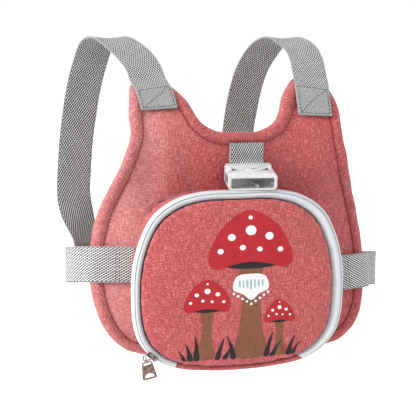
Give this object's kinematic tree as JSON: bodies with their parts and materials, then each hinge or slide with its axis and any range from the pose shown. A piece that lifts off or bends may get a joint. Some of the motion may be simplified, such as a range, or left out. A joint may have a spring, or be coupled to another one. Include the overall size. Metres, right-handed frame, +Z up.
{
  "type": "toddler harness backpack, worn on the back with straps over the shoulders and round the chest",
  "caption": "Vest-shaped padded back panel with webbing shoulder and side straps, a zipped pouch, and a side-release buckle on a webbing tab for a leash.",
  "frame": {"origin": "midway between the undersides of the two shoulder straps' crests, where they lie on the wearer's shoulders", "axes": "+Z up, +X to the right across the panel as seen from behind the wearer, +Y from the pouch through the panel towards the wearer's chest"},
  "size_m": [0.2791, 0.1638, 0.2758],
  "materials": {
    "coral_canvas": "woven melange canvas",
    "grey_webbing": "flat woven webbing, light and dark grey",
    "grey_tape": "fine woven zip tape",
    "white_plastic": "moulded, slight sheen",
    "zip_metal": "dark grey-brown plating"
  },
  "bodies": {
    "pack": {"back_panel": "coral_canvas", "edge_binding": "coral_canvas", "shoulder_strap_left": "grey_webbing", "shoulder_strap_right": "grey_webbing", "side_strap_left": "grey_webbing", "side_strap_right": "grey_webbing", "chest_buckle": "white_plastic", "pouch_gusset": "coral_canvas", "pouch_front": "coral_canvas", "zip_tape_outer": "grey_tape", "zip_tape_inner": "grey_tape", "zip_coil": "grey_tape", "bottom_hinge": "coral_canvas", "zip_slider": "zip_metal", "leash_buckle": "white_plastic", "leash_tab": "grey_webbing"},
    "pull": {"zip_pull": "zip_metal"}
  },
  "joints": [
    {"name": "pull_swing", "type": "hinge", "parent": "pack", "child": "pull", "pos_m": [-0.06946, -0.10896, -0.25209], "axis": [-0.9816, 0, -0.1908], "range_deg": [0, 120]}
  ]
}
